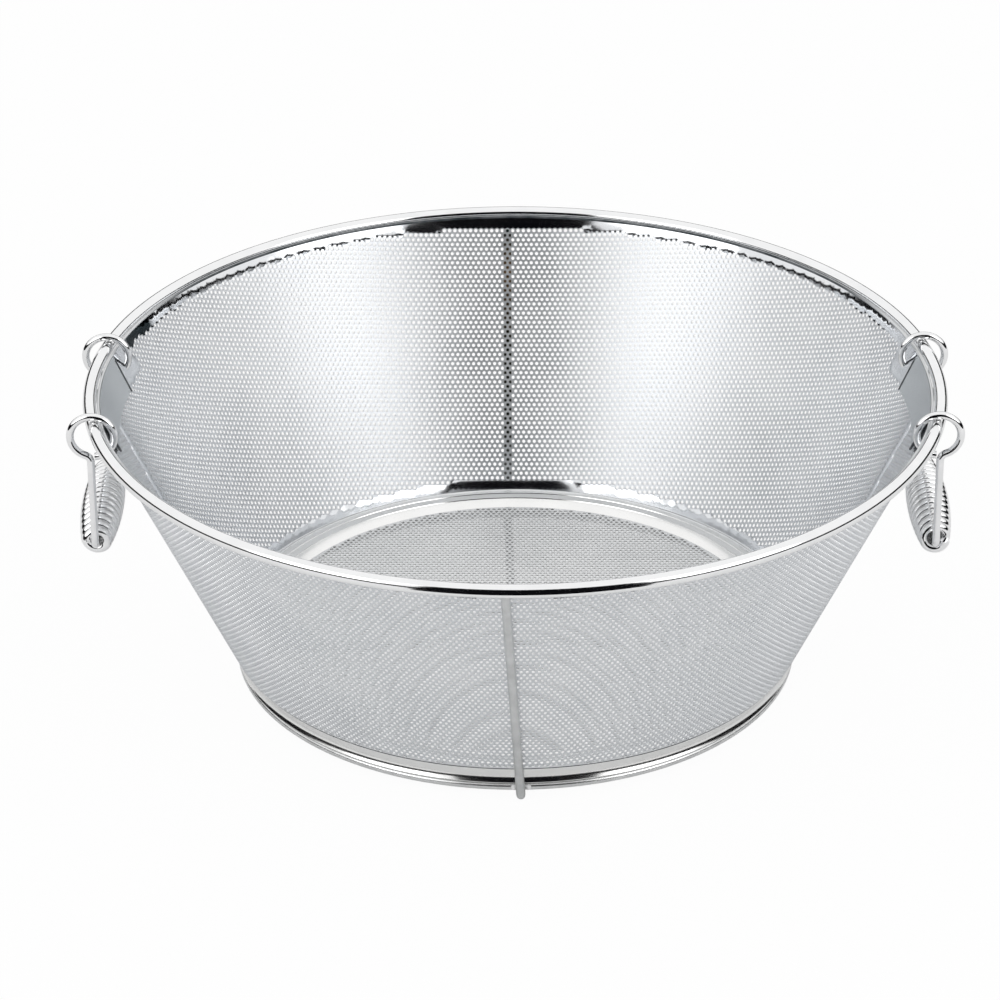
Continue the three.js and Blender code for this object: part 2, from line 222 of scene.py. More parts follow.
lamp_aim = Vector((0, 0, 0.1))
lamp_size = 1.4
lamp_watts = 7.5
for name, place in (("lamp_left", (-1.5, -1.3, 1.15)), ("lamp_right", (1.6, -1.15, 1.15))):
    lamp = bpy.data.lights.new(name, "AREA")
    lamp.shape = "SQUARE"
    lamp.size = lamp_size
    lamp.energy = lamp_watts
    hung = bpy.data.objects.new(name, lamp)
    hung.location = place
    hung.rotation_euler = (lamp_aim - Vector(place)).to_track_quat("-Z", "Y").to_euler()
    bpy.context.scene.collection.objects.link(hung)


# Walls
# Two halves of stainless sheet, punched with 2 mm holes in straight staggered rows before they were rolled to
# a cone and welded at the sides. A plain margin is left along every edge, deeper at the handles, and a patch
# of it behind the left handle is painted near black as a painted dark reflection.

rim_low, rim_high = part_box("rim_tube")
wall_low, wall_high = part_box("wall_rear")
rim_radius = rim_high.x
rim_thickness = rim_high.z - rim_low.z
rim_height = (rim_high.z + rim_low.z) / 2
wall_lean = radians(25)
wall_thickness = 0.5 * mm
hole_dish = 0.08 * mm
wall_top = wall_high.z
wall_foot = wall_low.z
wall_top_radius = wall_high.x
wall_foot_radius = wall_top_radius - (wall_top - wall_foot) * tan(wall_lean)
hole_pitch = 3 * mm
hole_diameter = 2 * mm
hole_sides = 8
row_step = hole_pitch * sin(pi / 3)
top_margin = 7.25 * mm
foot_margin = {"rear": 5.9 * mm, "front": 2 * mm}
side_margin = 3.5 * mm
front_first_row = 2.8 * mm
blank_half_width = 60 * mm
blank_drop = 14.7 * mm
cell_reach = 1.7 * mm
merge_distance = 0.02 * mm
hole_crease = radians(50)
panels_per_half = 3

apex_height = wall_top - wall_top_radius / tan(wall_lean)
slant_top = wall_top_radius / sin(wall_lean)
slant_foot = slant_top - (wall_top - wall_foot) / cos(wall_lean)
half_angle = pi / 2 * sin(wall_lean)
punched_top = (rim_height - apex_height) / cos(wall_lean) - top_margin


class Steel(Finish):
    """A material whose tone runs from a dark to a light colour in soft clouds."""

    def __init__(self, name, cloud_scale, cloud_detail, dark, light, stops=(0.3, 0.7)):
        super().__init__(bpy.data.materials.new(name))
        self.place = self.node("ShaderNodeTexCoord", output="Object")
        self.clouds = self.node("ShaderNodeTexNoise", inputs={
            "Vector": self.place, "Scale": cloud_scale, "Detail": cloud_detail})
        self.tone = self.node("ShaderNodeValToRGB", {
            "stops": [(stops[0], (*dark, 1)), (stops[1], (*light, 1))]}, {"Fac": self.clouds})

    def along(self, axis):
        """A point's place along X, Y or Z."""
        return self.node("ShaderNodeSeparateXYZ", inputs={"Vector": self.place}, output="XYZ".index(axis))

    def fade(self, value, none, full):
        """A mask that goes from 0 to 1 while the value goes from one number to the other."""
        return self.node("ShaderNodeMapRange", inputs={"Value": value, 1: none, 2: full})

    def mix(self, mask, first, second):
        return self.node("ShaderNodeMix", {"data_type": "RGBA"}, {0: mask, 6: first, 7: second}, 2)

    def done(self, rough, rougher=0, **sockets):
        """Ends the material, with the roughness that it has at least and what the clouds add to it."""
        roughness = rough + self.clouds * rougher if rougher else rough
        steel = self.node("ShaderNodeBsdfPrincipled", inputs={
            "Base Color": self.tone, "Metallic": 1.0, "Roughness": roughness, **sockets})
        self.node("ShaderNodeOutputMaterial", inputs={"Surface": steel})
        return self.owner


steel = Steel("punched_sheet_steel", cloud_scale=35, cloud_detail=3, dark=(0.67, 0.69, 0.715),
              light=(0.75, 0.765, 0.785))
grain = steel.node("ShaderNodeTexNoise", inputs={"Vector": steel.place, "Scale": 1800, "Detail": 2})
relief = steel.node("ShaderNodeBump", inputs={"Height": grain, "Strength": 0.05, "Distance": 0.05 * mm})
sheet_steel = steel.done(rough=0.34, rougher=0.12, Normal=relief)

steel = Steel("sheared_hole_edge_steel", cloud_scale=900, cloud_detail=2, dark=(0.66, 0.67, 0.68),
              light=(0.82, 0.83, 0.84))
cut_steel = steel.done(rough=0.3)

# A patch of the plain margin behind the left handle is painted near black: a painted dark reflection.
dark_reflection_from = (61 * mm, 65 * mm)
dark_reflection_to = (96 * mm, 90 * mm)
dark_reflection_left_of = (-170 * mm, -190 * mm)
dark_reflection_above = (148 * mm, 151 * mm)
dark_reflection_wander = 10 * mm
painted_reflection_tone = (0.005, 0.012, 0.015, 1)
steel = Steel("plain_margin_steel", cloud_scale=45, cloud_detail=3, dark=(0.74, 0.76, 0.785),
              light=(0.82, 0.83, 0.845))
depth = steel.along("Y") + steel.clouds * dark_reflection_wander
painted_reflection_patch = steel.fade(depth, *dark_reflection_from) * steel.fade(depth, *dark_reflection_to)
painted_reflection_patch = painted_reflection_patch * steel.fade(steel.along("X"), *dark_reflection_left_of) * steel.fade(steel.along("Z"), *dark_reflection_above)
steel.tone = steel.mix(painted_reflection_patch, steel.tone, painted_reflection_tone)
margin_steel = steel.done(rough=0.06, rougher=0.08)


def put_hole_cell(shape, punched):
    """One six-sided cell of the sheet about the origin, with its hole or plain."""
    rim = bmesh.ops.create_circle(shape, segments=6, radius=hole_pitch / 3 ** 0.5)["verts"]
    if not punched:
        bmesh.ops.contextual_create(shape, geom=rim)
        return
    hole = bmesh.ops.create_circle(shape, segments=hole_sides, radius=hole_diameter / 2)["verts"]
    bmesh.ops.translate(shape, vec=(0, 0, -hole_dish), verts=hole)
    bmesh.ops.bridge_loops(shape, edges=list({e for v in rim + hole for e in v.link_edges}))


def verts_of(geometry):
    return [part for part in geometry if isinstance(part, bmesh.types.BMVert)]


def repeat(shape, step, count):
    """Copies everything in the shape along a step until there are count of it, in order."""
    each = len(shape.faces)
    made = 1
    while made < count:
        more = min(made, count - made)
        copy = bmesh.ops.duplicate(shape, geom=shape.faces[:each * more])["geom"]
        bmesh.ops.translate(shape, vec=Vector(step) * made, verts=verts_of(copy))
        made += more


def staggered_cells(low, high, punched, wanted):
    """The cells of a rectangle's staggered rows whose middles are wanted, as one open sheet at z = 0."""
    shape = bmesh.new()
    put_hole_cell(shape, punched)
    faces_per_cell = len(shape.faces)
    columns = int((high[0] - low[0]) / hole_pitch) + 1
    pairs = int((high[1] - low[1]) / (2 * row_step)) + 1
    repeat(shape, (hole_pitch, 0, 0), columns)
    second = bmesh.ops.duplicate(shape, geom=shape.faces[:])["geom"]
    bmesh.ops.translate(shape, vec=(hole_pitch / 2, row_step, 0), verts=verts_of(second))
    repeat(shape, (0, 2 * row_step, 0), pairs)
    bmesh.ops.translate(shape, vec=(*low, 0), verts=shape.verts)
    spare = []
    for number in range(columns * 2 * pairs):
        row, column = divmod(number, columns)
        x = low[0] + (column + row % 2 / 2) * hole_pitch
        y = low[1] + row * row_step
        if not wanted(x, y):
            spare += shape.faces[number * faces_per_cell:(number + 1) * faces_per_cell]
    bmesh.ops.delete(shape, geom=spare, context="FACES")
    return shape


def sheet_with_holes(low, high, in_sheet, in_punched_part):
    """A flat sheet that is punched in one part of it and plain in the rest, cell for cell."""
    sheet = staggered_cells(low, high, True, in_punched_part)
    plain = staggered_cells(low, high, False, lambda x, y: in_sheet(x, y) and not in_punched_part(x, y))
    for face in plain.faces:
        face.material_index = 1
    carried = bpy.data.meshes.new("plain cells")
    plain.to_mesh(carried)
    plain.free()
    sheet.from_mesh(carried)
    bpy.data.meshes.remove(carried)
    bmesh.ops.remove_doubles(sheet, verts=sheet.verts, dist=merge_distance)
    return sheet


def trim(sheet, place_on_sheet):
    """Moves what stands over an edge of the sheet back onto the edge."""
    for vert in sheet.verts:
        height = vert.co.z
        vert.co = place_on_sheet(vert.co)
        vert.co.z = height
    bmesh.ops.dissolve_degenerate(sheet, edges=sheet.edges, dist=merge_distance)


def in_wall(x, y):
    """Whether a cell of the flat sheet reaches into the half."""
    slant, turn = hypot(x, y), atan2(x, y)
    in_height = slant_foot - cell_reach < slant < slant_top + cell_reach
    return in_height and abs(turn) < half_angle + cell_reach / slant


def in_wall_punching(x, y, foot):
    """Whether a cell has its hole: above the foot's margin, under the rim's and off the side seams."""
    slant, turn = hypot(x, y), atan2(x, y)
    from_side = half_angle - abs(turn)
    beside_handle = slant * sin(wall_lean) * sin(from_side / sin(wall_lean)) < blank_half_width
    top = punched_top - (blank_drop if beside_handle else 0)
    return foot < slant < top and from_side * slant > side_margin


def inside_wall_edges(point):
    slant = min(max(hypot(point.x, point.y), slant_foot), slant_top)
    turn = min(max(atan2(point.x, point.y), -half_angle), half_angle)
    return Vector((slant * sin(turn), slant * cos(turn), 0))


def wall_place(flat, to_rear):
    """Where a point of the flat sheet is once the half is rolled."""
    slant, turn = hypot(flat.x, flat.y), atan2(flat.x, flat.y)
    radius = slant * sin(wall_lean) + flat.z
    round_axis = turn / sin(wall_lean)
    side = 1 if to_rear else -1
    return Vector((side * radius * sin(round_axis), side * radius * cos(round_axis),
                   apex_height + slant * cos(wall_lean)))


def thicken(piece, thickness, smooth_below, rim_finish=0, face_finish=0):
    """Gives an open sheet its thickness on the side that it faces, and sharp edges. Its rims and its back
    take the finish that stands so many places after a face's own."""
    modifier = piece.modifiers.new("thickness", "SOLIDIFY")
    modifier.thickness = thickness
    modifier.offset = 1
    modifier.material_offset_rim = rim_finish
    modifier.material_offset = face_finish
    graph = bpy.context.evaluated_depsgraph_get()
    solid = bpy.data.meshes.new_from_object(piece.evaluated_get(graph))
    piece.modifiers.clear()
    piece.data = solid
    solid.shade_smooth()
    solid.set_sharp_from_angle(angle=smooth_below)


def cut_out(sheet, wanted):
    """A copy of the part of a sheet whose faces are wanted."""
    part = sheet.copy()
    bmesh.ops.delete(part, geom=[face for face in part.faces if not wanted(face)], context="FACES")
    return part


flat_side = slant_top * sin(half_angle) + hole_pitch
flat_foot = slant_foot * cos(half_angle) - row_step
front_shift = (slant_foot + front_first_row - flat_foot) % row_step - row_step
lowest_row = {"rear": flat_foot, "front": flat_foot + front_shift}
for half, to_rear in (("rear", True), ("front", False)):
    sheet = sheet_with_holes((-flat_side, lowest_row[half]), (flat_side, slant_top + row_step), in_wall,
                             lambda x, y: in_wall_punching(x, y, slant_foot + foot_margin[half]))
    trim(sheet, inside_wall_edges)
    for panel in range(panels_per_half):
        panel_low = -half_angle + 2 * half_angle * panel / panels_per_half
        panel_high = panel_low + 2 * half_angle / panels_per_half
        first, last = panel == 0, panel == panels_per_half - 1

        def in_panel(face):
            middle = face.calc_center_median()
            turn = atan2(middle.x, middle.y)
            return (first or turn >= panel_low) and (last or turn < panel_high)

        part = cut_out(sheet, in_panel)
        for vert in part.verts:
            vert.co = wall_place(vert.co, to_rear)
        piece = put_in_scene(f"wall_{half}_panel_{panel + 1}", part, sheet_steel, margin_steel, cut_steel)
        thicken(piece, wall_thickness, hole_crease, rim_finish=2)
        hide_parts(f"wall_{half}")
        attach(piece, "basket")
    sheet.free()


# Base
# A steel disc punched with the same holes up to a plain margin, pressed up to a polished crest inside the
# wall's foot, with two fine creases along it, and turned down to a plain skirt whose hem stands on the base
# ring. Its underside is painted near black as painted shade.

disc_low, disc_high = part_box("base_disc")
base_thickness = 0.7 * mm
floor_height = 17.8 * mm
punched_radius = 133.9 * mm
cell_radius = 135.0 * mm
crest_rise = disc_high.z - floor_height
shoulder_radius = 1.5 * mm
shoulder_middle = disc_high.x - shoulder_radius
skirt_lean = radians(20)
hem_height = disc_low.z + 1.2 * mm
waist_height = hem_height + 3 * mm
hem_flare = 1.3 * mm
hem_bend = 0.7 * mm
hem_width = 2.4 * mm
crease_depth = 0.45 * mm
crease_half_width = 0.3 * mm
creases = (141.5 * mm, 145.5 * mm)
fold_crease = radians(28)
close_merge = 0.002 * mm
same_place = 0.01 * mm
turned_steps = 240
crest_stations = (0, 0.04, 0.1, 0.18, 0.27, 0.36, 0.6, 0.68, 0.86, 0.93)
skirt_stations = (0.35, 0.7, 1)
flare_shares = (0.12, 0.35, 0.65, 1)

steel = Steel("base_sheet_steel", cloud_scale=28, cloud_detail=3, dark=(0.82, 0.825, 0.825),
              light=(0.89, 0.892, 0.892))
base_steel = steel.done(rough=0.38, rougher=0.12)
steel = Steel("base_crest_steel", cloud_scale=40, cloud_detail=3, dark=(0.88, 0.88, 0.87),
              light=(0.94, 0.938, 0.93))
crest_steel = steel.done(rough=0.08, rougher=0.1)
# The underside of the crest and skirt is painted near black: painted shade under the basket.
steel = Steel("underside_painted_shade_steel", cloud_scale=60, cloud_detail=3, dark=(0.05, 0.05, 0.045),
              light=(0.12, 0.118, 0.11))
underside_shade_steel = steel.done(rough=0.4, rougher=0.15)


def in_base(x, y):
    return hypot(x, y) < cell_radius + cell_reach


def in_base_punching(x, y):
    return hypot(x, y) < punched_radius


def crest_height_at(radius):
    """The height of the pressed crest, which rises like a quarter wave and has its creases cut in."""
    share = min((radius - cell_radius) / (shoulder_middle - cell_radius), 1)
    sunk = any(abs(radius - crease) < same_place for crease in creases)
    return floor_height + crest_rise * sin(share * pi / 2) - (crease_depth if sunk else 0)


cells_half = cell_radius + hole_pitch
sheet = sheet_with_holes((-cells_half, -cells_half), (cells_half, cells_half), in_base, in_base_punching)
trim(sheet, lambda point: point * min(1, cell_radius / max(point.length, mm)))
bmesh.ops.translate(sheet, vec=(0, 0, floor_height), verts=sheet.verts)
bmesh.ops.recalc_face_normals(sheet, faces=sheet.faces)
if sheet.faces[0].normal.z > 0:
    bmesh.ops.reverse_faces(sheet, faces=sheet.faces)
for name, wanted in (("base_holes_rear", lambda face: face.calc_center_median().y >= 0),
                     ("base_holes_front", lambda face: face.calc_center_median().y < 0)):
    piece = put_in_scene(name, cut_out(sheet, wanted), base_steel, crest_steel)
    thicken(piece, base_thickness, hole_crease)
    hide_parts("base_disc")
    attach(piece, "basket")
sheet.free()

stations = [cell_radius + share * (shoulder_middle - cell_radius) for share in crest_stations]
for crease in creases:
    stations += [crease - crease_half_width, crease, crease + crease_half_width]
profile = [(radius, crest_height_at(radius)) for radius in sorted(stations)]
shoulder_height = disc_high.z - shoulder_radius
for degrees in range(90, -21, -10):
    angle = radians(degrees)
    profile.append((shoulder_middle + shoulder_radius * cos(angle),
                    shoulder_height + shoulder_radius * sin(angle)))
skirt_radius, skirt_height = profile[-1]
waist_radius = skirt_radius - (skirt_height - waist_height) * tan(skirt_lean)
for share in skirt_stations:
    profile.append((skirt_radius + (waist_radius - skirt_radius) * share,
                    skirt_height + (waist_height - skirt_height) * share))
for number, out in enumerate(flare_shares, 1):
    down = number / len(flare_shares) * (waist_height - hem_height)
    profile.append((waist_radius + out * hem_flare, waist_height - down))
lip_radius = profile[-1][0]
for degrees in (-30, -60, -90):
    angle = radians(degrees)
    profile.append((lip_radius + (cos(angle) - 1) * hem_bend, hem_height + sin(angle) * hem_bend))
profile.append((lip_radius - hem_width, hem_height - hem_bend))

shape = bmesh.new()
corners = [shape.verts.new((radius, 0, height)) for radius, height in profile]
outline = [shape.edges.new(pair) for pair in zip(corners, corners[1:])]
bmesh.ops.spin(shape, geom=corners + outline, cent=(0, 0, 0), axis=(0, 0, 1), angle=2 * pi,
               steps=turned_steps, use_merge=True)
bmesh.ops.remove_doubles(shape, verts=shape.verts, dist=close_merge)
bmesh.ops.recalc_face_normals(shape, faces=shape.faces)
if min(shape.faces, key=lambda face: hypot(*face.calc_center_median()[:2])).normal.z > 0:
    bmesh.ops.reverse_faces(shape, faces=shape.faces)
piece = put_in_scene("base_edge", shape, underside_shade_steel, crest_steel)
thicken(piece, base_thickness, fold_crease, rim_finish=1, face_finish=1)
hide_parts("base_disc")
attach(piece, "basket")


# Rim tube and base ring
# A bright steel tube closes the mouth, and a round drawn wire carries the skirt. Each is rolled to a ring. A
# seam of weld runs round the wall's top and a finer one round its foot. Both are painted dark at the front
# and back as painted shade of the crevice between the parts, and keep the steel's own tone at the sides.

ring_low, ring_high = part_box("base_ring")
rim_seam_thickness = 1.3 * mm
rim_seam_reach = wall_top_radius - wall_thickness + 0.35 * mm
foot_seam_thickness = 0.9 * mm
foot_seam_reach = wall_foot_radius + 0.15 * mm
ring_merge = 0.01 * mm

steel = Steel("bright_ring_steel", cloud_scale=60, cloud_detail=3, dark=(0.86, 0.865, 0.87),
              light=(0.91, 0.912, 0.915))
ring_steel = steel.done(rough=0.07, rougher=0.06)
steel = Steel("drawn_wire_steel", cloud_scale=120, cloud_detail=4, dark=(0.68, 0.685, 0.685),
              light=(0.8, 0.805, 0.805))
wire_steel = steel.done(rough=0.2, rougher=0.12)

# The seams are painted near black at the front and back as painted shade of the crevice, and fade to the
# steel's own tone at the sides.
seam_own_tone = (0.75, 0.76, 0.77, 1)
squared_way_to_painted_shade = (0.006, 0.015)
steel = Steel("weld_seam_with_painted_shade", cloud_scale=90, cloud_detail=4, dark=(0.03, 0.04, 0.045),
              light=(0.16, 0.17, 0.18), stops=(0.35, 0.65))
depth = steel.along("Y")
steel.tone = steel.mix(steel.fade(depth * depth, *squared_way_to_painted_shade), seam_own_tone, steel.tone)
crevice_shade_seam_steel = steel.done(rough=0.35, rougher=0.2, Metallic=0.7)


def edges_of(geometry):
    return [part for part in geometry if isinstance(part, bmesh.types.BMEdge)]


def start_wire(shape, place, heading, thickness, sides):
    """The edges of a wire's open end, from which it is drawn on, bent or closed."""
    turn = Vector(heading).to_track_quat("Z", "Y").to_matrix().to_4x4()
    ring = bmesh.ops.create_circle(shape, segments=sides, radius=thickness / 2,
                                   matrix=Matrix.Translation(place) @ turn)["verts"]
    return list({edge for vert in ring for edge in vert.link_edges})


def bend(shape, end, centre, axis, angle, steps):
    swept = bmesh.ops.spin(shape, geom=end, cent=centre, axis=axis, angle=angle, steps=steps,
                           use_duplicate=False)
    return edges_of(swept["geom_last"])


def rolled_ring(name, low, high, finish, sides, steps):
    """A wire's ring about the axis that fills a box."""
    thickness = high.z - low.z
    shape = bmesh.new()
    end = start_wire(shape, (high.x - thickness / 2, 0, (low.z + high.z) / 2), (0, 1, 0), thickness, sides)
    bmesh.ops.spin(shape, geom=end, cent=(0, 0, 0), axis=(0, 0, 1), angle=2 * pi, steps=steps, use_merge=True)
    bmesh.ops.remove_doubles(shape, verts=shape.verts, dist=ring_merge)
    bmesh.ops.recalc_face_normals(shape, faces=shape.faces)
    ring = put_in_scene(name, shape, finish)
    ring.data.shade_smooth()
    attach(ring, "basket")
    return ring


def ring_box(reach, height, thickness):
    """The corners of a ring's box, from its outer radius, its wire's middle and its wire's thickness."""
    return Vector((-reach, -reach, height - thickness / 2)), Vector((reach, reach, height + thickness / 2))


rim = rolled_ring("rim_ring", rim_low, rim_high, ring_steel, sides=24, steps=240)
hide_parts("rim_tube")

foot_ring = rolled_ring("foot_ring", ring_low, ring_high, wire_steel, sides=20, steps=200)
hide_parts("base_ring")

# Both seams carry painted shade at the front and back.
seam_low, seam_high = ring_box(rim_seam_reach, wall_top, rim_seam_thickness)
seam = rolled_ring("rim_seam", seam_low, seam_high, crevice_shade_seam_steel, sides=10, steps=240)

seam_low, seam_high = ring_box(foot_seam_reach, wall_foot, foot_seam_thickness)
seam = rolled_ring("foot_seam", seam_low, seam_high, crevice_shade_seam_steel, sides=8, steps=200)


# Support wires
# Two drawn wires cross under the base, where the left to right one bows up over the other. Each is bent round
# the base ring, with a nugget of weld at both its sides there, and is welded at its ends under the rim tube.
# The arm at the rear is painted near black as painted shade where it stands behind the wall, with a band of
# brown heat tint high up.

wire_low, wire_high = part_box("support_wire_left_right")
wire_thickness = wire_high.y - wire_low.y
ring_thickness = ring_high.z - ring_low.z
ring_radius = ring_high.x - ring_thickness / 2
ring_height = (ring_low.z + ring_high.z) / 2
turn_radius = ring_height - wire_thickness / 2
wire_sides = 16
wire_crease = radians(40)
wire_end_round = 0.3 * mm
crossing_half = 14 * mm
foot_run = 8 * mm
front_top_side = -5.3 * mm
front_foot_side = 2.5 * mm
rear_side = -4 * mm
wire_gap = 0.3 * mm
wire_end_gap = 0.1 * mm
foot_bend_steps = 10
nugget_size = 3.2 * mm
nugget_aside = 3.5 * mm
nugget_out = ring_thickness / 2
nugget_rise = 0.6 * mm

# The rear arm, seen through the wall, is painted near black as painted shade, with a band of brown heat tint
# high up.
shaded_and_tarnished_behind = (120 * mm, 170 * mm)
shade_and_tarnish_up_the_arm = [(0, (0.035, 0.04, 0.035, 1)), (0.6, (0.05, 0.05, 0.04, 1)),
                      (0.82, (0.16, 0.11, 0.07, 1)), (0.95, (0.03, 0.04, 0.04, 1))]
steel = Steel("support_wire_steel", cloud_scale=120, cloud_detail=4, dark=(0.55, 0.56, 0.56),
              light=(0.67, 0.68, 0.68))
shade_and_tarnish = steel.node("ShaderNodeValToRGB", {"stops": shade_and_tarnish_up_the_arm}, {
    "Fac": steel.along("Z") * (1 / rim_height)})
steel.tone = steel.mix(steel.fade(steel.along("Y"), *shaded_and_tarnished_behind), steel.tone, shade_and_tarnish)
support_steel = steel.done(rough=0.24, rougher=0.14)

steel = Steel("bright_weld_steel", cloud_scale=700, cloud_detail=2, dark=(0.8, 0.8, 0.8),
              light=(0.95, 0.95, 0.95))
weld_steel = steel.done(rough=0.4, rougher=0.1, Metallic=0.3)


def run(shape, end, step):
    """Draws the wire on straight."""
    grown = verts_of(bmesh.ops.extrude_edge_only(shape, edges=end)["geom"])
    bmesh.ops.translate(shape, vec=step, verts=grown)
    return list({edge for vert in grown for edge in vert.link_edges if edge.other_vert(vert) in grown})


def close_end(shape, end):
    """Rounds the cut end of a wire a little and closes it."""
    cap = bmesh.ops.contextual_create(shape, geom=end)["faces"]
    bmesh.ops.bevel(shape, geom=list(cap[0].edges), affect="EDGES", offset=wire_end_round, segments=2,
                    profile=0.5, material=-1)


def smooth_wire(name, shape, finish, body, slot, *nodes):
    """Puts a wire in the scene on its body, in place of the nodes that it stands for."""
    bmesh.ops.remove_doubles(shape, verts=shape.verts, dist=close_merge)
    bmesh.ops.recalc_face_normals(shape, faces=shape.faces)
    wire = put_in_scene(name, shape, finish)
    wire.data.shade_smooth()
    wire.data.set_sharp_from_angle(angle=wire_crease)
    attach(wire, body)
    if nodes:
        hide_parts(*nodes)
    return wire


def support_wire(shape, bow):
    """A support wire in the plane y = 0, from the rim tube on the -X side to the one on the +X side."""
    out = Vector((cos(wall_lean), 0, -sin(wall_lean)))
    up = Vector((sin(wall_lean), 0, cos(wall_lean)))
    tube_middle = Vector((rim_radius - rim_thickness / 2, 0, rim_height))
    wall_corner = Vector((wall_top_radius, 0, wall_top)) - tube_middle
    beside_wall = wall_corner.dot(out) + wire_gap + wire_thickness / 2
    top = tube_middle + out * beside_wall - up * (rim_thickness / 2 + wire_end_gap)
    ring_middle = Vector((ring_radius, 0, ring_height))
    reach = top - ring_middle
    along = (reach.length ** 2 - turn_radius ** 2) ** 0.5
    touch = atan2(reach.z, reach.x) - pi / 2 + atan2(turn_radius, along)
    landing = ring_middle + turn_radius * Vector((cos(touch), 0, sin(touch)))
    down = landing - top
    mirrored = Vector((-1, 1, 1))
    end = start_wire(shape, top * mirrored, down * mirrored, wire_thickness, wire_sides)
    close_end(shape, end)
    end = start_wire(shape, top * mirrored, down * mirrored, wire_thickness, wire_sides)
    end = run(shape, end, down * mirrored)
    end = bend(shape, end, ring_middle * mirrored, (0, -1, 0), touch + pi / 2, foot_bend_steps)
    if bow:
        slope = Vector((ring_radius - foot_run - crossing_half, 0, wire_thickness + wire_gap))
        end = run(shape, end, (foot_run, 0, 0))
        end = run(shape, end, slope)
        end = run(shape, end, (2 * crossing_half, 0, 0))
        end = run(shape, end, slope * Vector((1, 1, -1)))
        end = run(shape, end, (foot_run, 0, 0))
    else:
        end = run(shape, end, (2 * ring_radius, 0, 0))
    end = bend(shape, end, ring_middle, (0, -1, 0), touch + pi / 2, foot_bend_steps)
    end = run(shape, end, -down)
    close_end(shape, end)


shape = bmesh.new()
support_wire(shape, bow=True)
smooth_wire("support_left_right", shape, support_steel, "basket", "support_wire", "support_wire_left_right")

shape = bmesh.new()
support_wire(shape, bow=False)
bmesh.ops.rotate(shape, cent=(0, 0, 0), matrix=Matrix.Rotation(pi / 2, 3, "Z"), verts=shape.verts)
for vert in shape.verts:
    climb = min(max(vert.co.z / rim_height, 0), 1)
    front = front_foot_side + (front_top_side - front_foot_side) * climb
    forward = min(max((1 - vert.co.y / ring_radius) / 2, 0), 1)
    vert.co.x += rear_side + (front - rear_side) * forward
smooth_wire("support_front_back", shape, support_steel, "basket", "support_wire", "support_wire_front_back")

shape = bmesh.new()
for degrees, aside in ((0, 0), (90, rear_side), (180, 0), (270, front_foot_side)):
    turn = Matrix.Rotation(radians(degrees), 3, "Z")
    foot = turn @ Vector((ring_radius + nugget_out, 0, ring_height + nugget_rise)) + Vector((aside, 0, 0))
    along = turn @ Vector((0, 1, 0))
    for way in (-1, 1):
        nugget = bmesh.ops.create_icosphere(shape, subdivisions=3, radius=nugget_size / 2)["verts"]
        bmesh.ops.translate(shape, vec=foot + along * way * nugget_aside, verts=nugget)
smooth_wire("foot_welds", shape, weld_steel, "basket", "ring_wire")


# Handle plates
# A plain strip of sheared and rolled steel sheet stands inside the wall between the two eyes of each handle.
# Its edges are painted dark as painted shade, and a bead of weld runs down each end of it, painted the same
# dark as painted shade of the gap at the plate's end.

plate_low, plate_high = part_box("handle_plate_right")
plate_middle = (plate_high.z + plate_low.z) / 2
plate_half_width = plate_high.y
plate_thickness = 1 * mm
plate_face_gap = 0.15 * mm
plate_inset = (wall_thickness + plate_face_gap) / cos(wall_lean)
plate_bead_thickness = 1.1 * mm
plate_bead_short = 2 * mm
plate_bead_sides = 8

steel = Steel("plain_plate_steel", cloud_scale=40, cloud_detail=4, dark=(0.58, 0.605, 0.62),
              light=(0.68, 0.705, 0.715))
plate_steel = steel.done(rough=0.2, rougher=0.1)
# The plate's cut edges and end beads are painted near black: painted shade.
steel = Steel("plate_edge_painted_shade_steel", cloud_scale=400, cloud_detail=2, dark=(0.07, 0.075, 0.08),
              light=(0.16, 0.165, 0.17))
plate_edge_shade_steel = steel.done(rough=0.45)


def on_plate(side, across, height, inward=0):
    """A point of a plate's back, or one so far inward of it, by its way across the plate and its height."""
    radius = (height - apex_height) * tan(wall_lean) - plate_inset - inward
    turn = across / (plate_high.x - plate_inset)
    return Vector((side * radius * cos(turn), side * radius * sin(turn), height))


for side_name, side in (("left", -1), ("right", 1)):
    shape = bmesh.new()
    bmesh.ops.create_grid(shape, x_segments=36, y_segments=6, size=0.5)
    bmesh.ops.scale(shape, vec=(2 * plate_half_width, plate_high.z - plate_low.z, 1), verts=shape.verts)
    for vert in shape.verts:
        vert.co = on_plate(side, vert.co.x, plate_middle + vert.co.y)
    piece = put_in_scene(f"handle_plate_{side_name}_sheet", shape, plate_steel, plate_edge_shade_steel)
    thicken(piece, -plate_thickness, hole_crease, rim_finish=1)
    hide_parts(f"handle_plate_{side_name}")
    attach(piece, "basket")

    # Beads along the plate's ends, painted near black as painted shade of the gap there.
    beads = bmesh.new()
    for end_side in (-1, 1):
        across = end_side * (plate_half_width + plate_bead_thickness / 2)
        foot = on_plate(side, across, plate_low.z, plate_thickness)
        climb = on_plate(side, across, plate_high.z - plate_bead_short, plate_thickness) - foot
        close_end(beads, start_wire(beads, foot, climb, plate_bead_thickness, plate_bead_sides))
        end = start_wire(beads, foot, climb, plate_bead_thickness, plate_bead_sides)
        close_end(beads, run(beads, end, climb))
    smooth_wire(f"plate_end_shade_beads_{side_name}", beads, plate_edge_shade_steel, "basket", "plate_sheet")


# Bails
# Each handle is one bent wire of bright steel, with a crossbar for the grip. Its ends are turned to eyes that
# go round the rim tube and through the wall, so that the handle swings about the tube.

